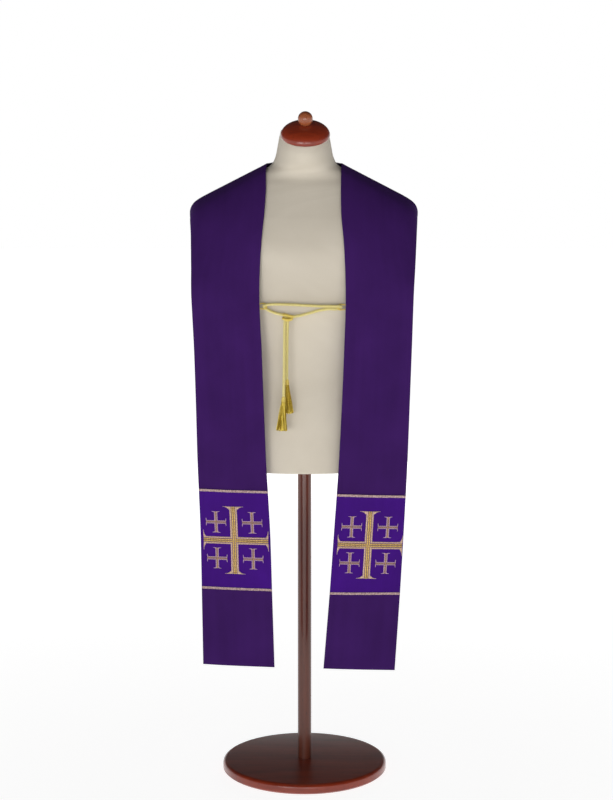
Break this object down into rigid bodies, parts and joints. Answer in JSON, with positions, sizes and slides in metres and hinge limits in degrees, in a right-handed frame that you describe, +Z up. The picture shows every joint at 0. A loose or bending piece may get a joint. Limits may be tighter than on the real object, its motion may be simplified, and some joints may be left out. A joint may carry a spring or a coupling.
{
  "type": "clerical stole on dress form",
  "caption": "Clerical stole with gold braids, embroidered crosses and a knotted tasselled cord, worn on a limbless dress form with a turned wooden neck cap and stand.",
  "frame": {"origin": "middle of the stand's flat underside, on the floor", "axes": "+Z up, -Y the way the stole's fronts face, +X to the right as seen from the front"},
  "size_m": [0.537, 0.4, 1.5941],
  "materials": {
    "violet_cloth": "plain-woven violet polyester-wool vestment cloth, matt with a faint sheen",
    "orphrey_cloth": "brighter violet satin-backed cloth, slightly glossier",
    "gold_thread": "metallised gold thread: braids, embroidery, twisted cord, knot and tassels",
    "form_jersey": "cream cotton jersey stretched over the dress form",
    "mahogany": "turned wood, mahogany stain, semi-gloss varnish"
  },
  "bodies": {
    "root": {"stole_half_right": "violet_cloth", "stole_half_left": "violet_cloth", "orphrey_panel_right": "orphrey_cloth", "orphrey_panel_left": "orphrey_cloth", "braid_right_upper": "gold_thread", "braid_right_lower": "gold_thread", "braid_left_upper": "gold_thread", "braid_left_lower": "gold_thread", "cord_loop_right": "gold_thread", "cord_loop_left": "gold_thread", "fastening_cord_span": "gold_thread", "fastening_cord_left": "gold_thread", "fastening_cord_right": "gold_thread", "cord_tail_left": "gold_thread", "cord_tail_right": "gold_thread", "cord_knot": "gold_thread", "tassel_left": "gold_thread", "tassel_right": "gold_thread", "form_torso": "form_jersey", "neck_cap": "mahogany", "neck_finial": "mahogany", "stand_pole": "mahogany", "stand_base": "mahogany"}
  },
  "joints": []
}
